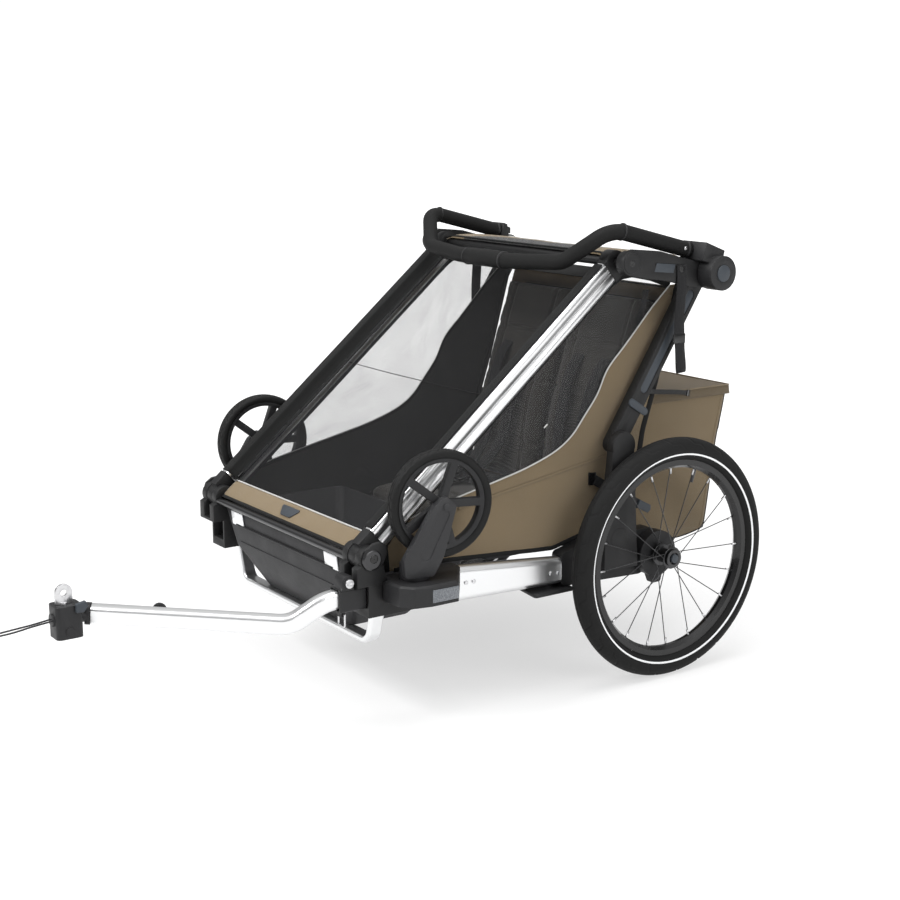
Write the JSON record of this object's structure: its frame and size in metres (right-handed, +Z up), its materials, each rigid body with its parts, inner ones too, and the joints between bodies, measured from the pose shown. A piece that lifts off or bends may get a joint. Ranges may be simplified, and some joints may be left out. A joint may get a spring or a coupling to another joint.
{
  "type": "child bicycle trailer",
  "caption": "Covered trailer that carries children behind a bicycle, with a folding frame, a hitch arm, stowed casters, a swing-over push bar and a rear luggage bag.",
  "frame": {"origin": "centre of the overall box at floor level, without the leash", "axes": "+Z up, +Y to the rear, +X to the rider's left"},
  "size_m": [0.808, 1.7097, 0.9296],
  "materials": {
    "silver_aluminium": "brushed, clear anodised",
    "black_metal": "satin black",
    "black_casting": "fine-grained black",
    "black_plastic": "matte black",
    "grey_plastic": "matte slate grey",
    "reflector": "prismatic lens",
    "foam_rubber": "soft matte foam",
    "tyre_rubber": "black tyre rubber",
    "spoke_steel": "black steel",
    "steel": "zinc plated",
    "tan_fabric": "coated tan weave",
    "dark_fabric": "charcoal weave",
    "mesh_fabric": "see-through mesh",
    "window_film": "smoked soft film",
    "black_webbing": "woven black"
  },
  "bodies": {
    "chassis": {"frame_rails": "silver_aluminium", "cross_tubes": "black_metal", "front_brackets": "black_casting", "front_pins": "black_metal", "rear_brackets": "black_casting", "brake_drums": "black_plastic", "rear_feet": "black_plastic", "caster_pods": "black_plastic", "reflectors": "reflector", "rear_reflectors": "reflector", "foot_tub": "black_plastic", "seat_base": "dark_fabric", "seat_backs": "dark_fabric", "rear_panel": "tan_fabric", "side_panels": "tan_fabric", "side_windows": "window_film", "bag_body": "tan_fabric", "hitch_receiver": "black_plastic"},
    "front_frame": {"front_tubes": "silver_aluminium", "front_knuckles": "black_casting", "front_cover": "mesh_fabric", "cover_band": "tan_fabric"},
    "top_frame": {"top_joints": "black_casting", "roof_panel": "dark_fabric", "hanging_straps": "black_webbing"},
    "uprights": {"uprights": "black_casting", "upright_trims": "grey_plastic"},
    "handlebar": {"handlebar_tube": "foam_rubber", "centre_grip": "foam_rubber", "bar_hubs": "black_plastic"},
    "left_bar_button": {"left_bar_button": "grey_plastic"},
    "right_bar_button": {"right_bar_button": "grey_plastic"},
    "left_wheel": {"left_tyre": "tyre_rubber", "left_rim": "black_metal", "left_hub": "black_metal", "left_spokes": "spoke_steel"},
    "right_wheel": {"right_tyre": "tyre_rubber", "right_rim": "black_metal", "right_hub": "black_metal", "right_spokes": "spoke_steel"},
    "left_axle_button": {"left_axle_button": "grey_plastic"},
    "right_axle_button": {"right_axle_button": "grey_plastic"},
    "left_caster": {"left_fork": "black_plastic"},
    "right_caster": {"right_fork": "black_plastic"},
    "left_caster_wheel": {"left_caster_tyre": "tyre_rubber", "left_caster_rim": "black_plastic"},
    "right_caster_wheel": {"right_caster_tyre": "tyre_rubber", "right_caster_rim": "black_plastic"},
    "bag_lid": {"bag_lid": "tan_fabric"},
    "brake_pedal": {"brake_pedal": "black_plastic"},
    "hitch_arm": {"hitch_arm": "silver_aluminium", "hitch_fittings": "black_plastic"},
    "hitch_thumbwheel": {"hitch_thumbwheel": "black_plastic"},
    "hitch_head": {"hitch_head": "black_plastic", "leash_cord": "black_webbing", "leash_slider": "black_plastic"},
    "hitch_eye": {"hitch_eye": "steel"},
    "hitch_lever": {"hitch_lever": "grey_plastic"},
    "hitch_knob": {"hitch_knob": "steel"},
    "hitch_bail": {"hitch_bail": "steel"}
  },
  "joints": [
    {"name": "front_fold", "type": "hinge", "parent": "chassis", "child": "front_frame", "pos_m": [0, -0.234, 0.345], "axis": [-1, 0, 0], "range_deg": [0, 32.84], "deforming": ["side_panels", "side_windows", "rear_panel", "seat_backs", "bag_body", "bag_lid", "roof_panel", "rear_reflectors"]},
    {"name": "top_fold", "type": "hinge", "parent": "front_frame", "child": "top_frame", "pos_m": [0, 0.355, 0.854], "axis": [-1, 0, 0], "range_deg": [-11.97, 0]},
    {"name": "upright_fold", "type": "hinge", "parent": "chassis", "child": "uprights", "pos_m": [0, 0.347, 0.49], "axis": [-1, 0, 0], "range_deg": [0, 77.14]},
    {"name": "bar_swing", "type": "hinge", "parent": "top_frame", "child": "handlebar", "pos_m": [0, 0.565, 0.826], "axis": [-1, 0, 0], "range_deg": [0, 165]},
    {"name": "left_bar_button_press", "type": "slide", "parent": "handlebar", "child": "left_bar_button", "axis": [-1, 0, 0], "range_m": [0, 0.003], "stiffness_N_per_m": 400},
    {"name": "left_wheel_spin", "type": "hinge", "parent": "chassis", "child": "left_wheel", "pos_m": [0.375, 0.452, 0.25], "axis": [1, 0, 0], "continuous": true},
    {"name": "left_axle_button_press", "type": "slide", "parent": "chassis", "child": "left_axle_button", "axis": [-1, 0, 0], "range_m": [0, 0.002], "stiffness_N_per_m": 400},
    {"name": "right_bar_button_press", "type": "slide", "parent": "handlebar", "child": "right_bar_button", "axis": [1, 0, 0], "range_m": [0, 0.003], "stiffness_N_per_m": 400},
    {"name": "right_wheel_spin", "type": "hinge", "parent": "chassis", "child": "right_wheel", "pos_m": [-0.375, 0.452, 0.25], "axis": [1, 0, 0], "continuous": true},
    {"name": "right_axle_button_press", "type": "slide", "parent": "chassis", "child": "right_axle_button", "axis": [1, 0, 0], "range_m": [0, 0.002], "stiffness_N_per_m": 400},
    {"name": "left_caster_swivel", "type": "hinge", "parent": "chassis", "child": "left_caster", "pos_m": [0.341, -0.153, 0.3], "axis": [0, 0, -1], "range_deg": [-12, 18]},
    {"name": "left_caster_spin", "type": "hinge", "parent": "left_caster", "child": "left_caster_wheel", "pos_m": [0.35003, -0.10179, 0.438], "axis": [0.9848, -0.1736, 0], "continuous": true},
    {"name": "right_caster_swivel", "type": "hinge", "parent": "chassis", "child": "right_caster", "pos_m": [-0.341, -0.153, 0.3], "axis": [0, 0, 1], "range_deg": [-3, 32]},
    {"name": "right_caster_spin", "type": "hinge", "parent": "right_caster", "child": "right_caster_wheel", "pos_m": [-0.33647, -0.1012, 0.438], "axis": [0.9962, -0.0872, 0], "continuous": true},
    {"name": "bag_lid_open", "type": "hinge", "parent": "chassis", "child": "bag_lid", "pos_m": [0, 0.494, 0.5453], "axis": [1, 0, 0], "range_deg": [0, 60]},
    {"name": "brake_pedal_press", "type": "hinge", "parent": "chassis", "child": "brake_pedal", "pos_m": [0.271, 0.484, 0.258], "axis": [-1, 0, 0], "range_deg": [0, 22]},
    {"name": "hitch_arm_release", "type": "slide", "parent": "chassis", "child": "hitch_arm", "axis": [0, -1, 0], "range_m": [0, 0.06]},
    {"name": "thumbwheel_turn", "type": "hinge", "parent": "hitch_arm", "child": "hitch_thumbwheel", "pos_m": [0.1256, -0.56678, 0.2586], "axis": [-0.8602, 0.51, 0], "continuous": true},
    {"name": "hitch_roll", "type": "hinge", "parent": "hitch_arm", "child": "hitch_head", "pos_m": [0.08, -0.718, 0.259], "axis": [0, 1, 0], "range_deg": [-30, 30]},
    {"name": "hitch_eye_turn", "type": "hinge", "parent": "hitch_head", "child": "hitch_eye", "pos_m": [0.08, -0.729, 0.3], "axis": [0, 0, 1], "range_deg": [-40, 40]},
    {"name": "hitch_lever_lift", "type": "hinge", "parent": "hitch_head", "child": "hitch_lever", "pos_m": [0.106, -0.708, 0.283], "axis": [-1, 0, 0], "range_deg": [0, 35]},
    {"name": "hitch_knob_turn", "type": "hinge", "parent": "chassis", "child": "hitch_knob", "pos_m": [0.317, -0.279, 0.306], "axis": [1, 0, 0], "range_deg": [0, 90]},
    {"name": "hitch_bail_swing", "type": "hinge", "parent": "chassis", "child": "hitch_bail", "pos_m": [0.29, -0.28, 0.242], "axis": [1, 0, 0], "range_deg": [-60, 60]}
  ],
  "couplings": [
    {"joint": "top_fold", "follows": "front_fold", "ratio": -0.36443},
    {"joint": "upright_fold", "follows": "front_fold", "ratio": 2.3489}
  ]
}
